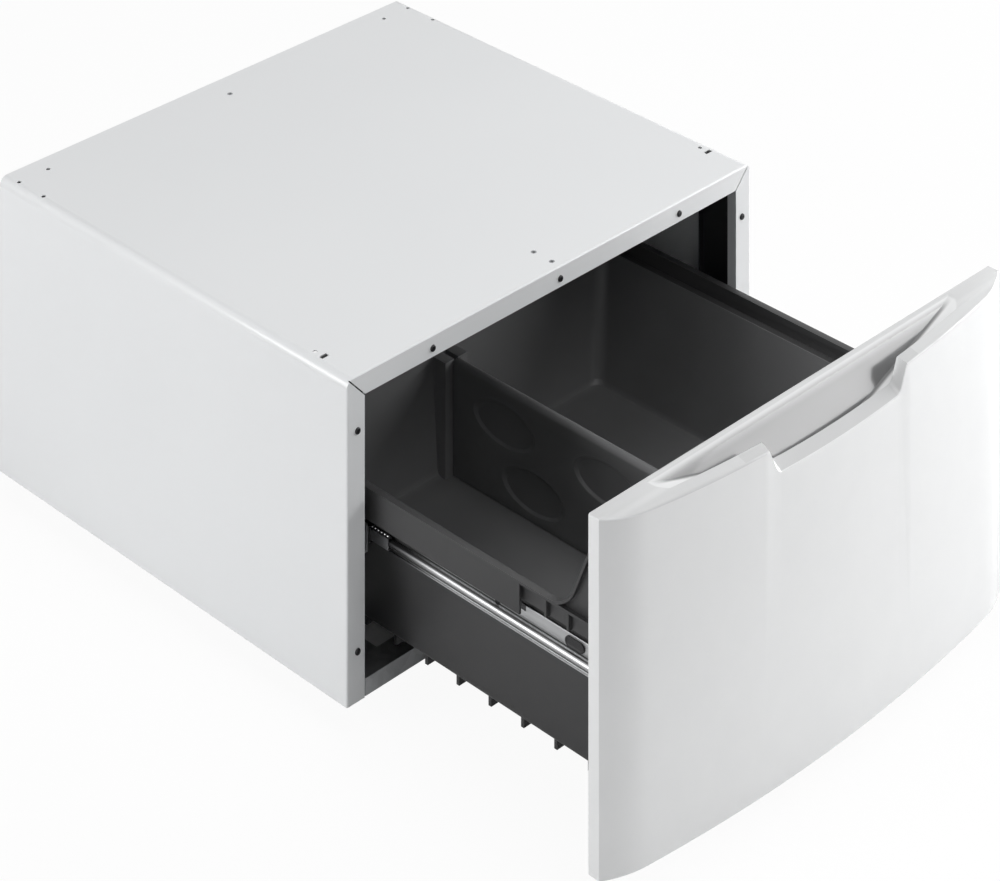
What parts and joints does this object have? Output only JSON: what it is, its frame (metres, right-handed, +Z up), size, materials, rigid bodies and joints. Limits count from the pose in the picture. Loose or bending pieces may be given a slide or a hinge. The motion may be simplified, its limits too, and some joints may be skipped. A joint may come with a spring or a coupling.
{
  "type": "washer pedestal drawer",
  "caption": "Steel laundry pedestal with a pull-out storage drawer: bowed front with scooped finger pull, divided dark bin, ball-bearing slides and levelling feet.",
  "frame": {"origin": "centre of the cabinet's footprint on the floor, between the four foot pads", "axes": "+Z up, +Y from the drawer front to the back, +X to the right seen from the front"},
  "size_m": [0.686, 1.0641, 0.4044],
  "materials": {
    "white_enamel": "satin",
    "white_front": "gloss",
    "galvanised": "dull",
    "base_steel": "satin",
    "dark_steel": "matt",
    "slide_steel": "bright",
    "ball_steel": "polished",
    "cage_steel": "dull",
    "black_screw": "satin",
    "zinc_screw": "dull",
    "grey_bushing": "dull",
    "dark_plastic": "matt",
    "black_rubber": "matt",
    "foot_plastic": "matt"
  },
  "bodies": {
    "cabinet": {"cabinet_wrapper": "white_enamel", "rear_panel": "galvanised", "front_brace": "galvanised", "base_front_rail": "base_steel", "base_rear_rail": "base_steel", "base_side_rail_left": "base_steel", "base_side_rail_right": "base_steel", "corner_upright_left": "dark_steel", "corner_upright_right": "dark_steel", "foot_brackets": "base_steel", "slide_support_left": "galvanised", "slide_support_right": "galvanised", "slide_channel_left": "slide_steel", "slide_channel_right": "slide_steel", "flange_screws": "black_screw", "rear_screws": "zinc_screw", "top_bushings": "grey_bushing"},
    "drawer": {"drawer_bin": "dark_plastic", "drawer_front": "white_front", "front_back_plate": "galvanised", "front_screws": "zinc_screw", "slide_rail_left": "slide_steel", "slide_rail_right": "slide_steel", "rail_plate_left": "slide_steel", "rail_plate_right": "slide_steel", "rail_rivets": "black_screw", "bumper_left": "black_rubber", "bumper_right": "black_rubber"},
    "cage_left": {"cage_left": "cage_steel", "balls_left": "ball_steel"},
    "cage_right": {"cage_right": "cage_steel", "balls_right": "ball_steel"},
    "divider": {"divider": "dark_plastic"},
    "foot_front_left": {"foot_front_left": "foot_plastic"},
    "foot_front_right": {"foot_front_right": "foot_plastic"},
    "foot_rear_left": {"foot_rear_left": "foot_plastic"},
    "foot_rear_right": {"foot_rear_right": "foot_plastic"}
  },
  "joints": [
    {"name": "drawer_slide", "type": "slide", "parent": "cabinet", "child": "drawer", "axis": [0, 1, 0], "range_m": [0, 0.37]},
    {"name": "cage_left_slide", "type": "slide", "parent": "cabinet", "child": "cage_left", "axis": [0, 1, 0], "range_m": [0, 0.185]},
    {"name": "cage_right_slide", "type": "slide", "parent": "cabinet", "child": "cage_right", "axis": [0, 1, 0], "range_m": [0, 0.185]},
    {"name": "divider_lift", "type": "slide", "parent": "drawer", "child": "divider", "axis": [0, 0, 1], "range_m": [0, 0.15]},
    {"name": "foot_front_left_screw", "type": "slide", "parent": "cabinet", "child": "foot_front_left", "axis": [0, 0, 1], "range_m": [-0.012, 0.012]},
    {"name": "foot_front_right_screw", "type": "slide", "parent": "cabinet", "child": "foot_front_right", "axis": [0, 0, 1], "range_m": [-0.012, 0.012]},
    {"name": "foot_rear_left_screw", "type": "slide", "parent": "cabinet", "child": "foot_rear_left", "axis": [0, 0, 1], "range_m": [-0.012, 0.012]},
    {"name": "foot_rear_right_screw", "type": "slide", "parent": "cabinet", "child": "foot_rear_right", "axis": [0, 0, 1], "range_m": [-0.012, 0.012]}
  ],
  "couplings": [
    {"joint": "cage_left_slide", "follows": "drawer_slide", "ratio": 0.5},
    {"joint": "cage_right_slide", "follows": "drawer_slide", "ratio": 0.5}
  ]
}
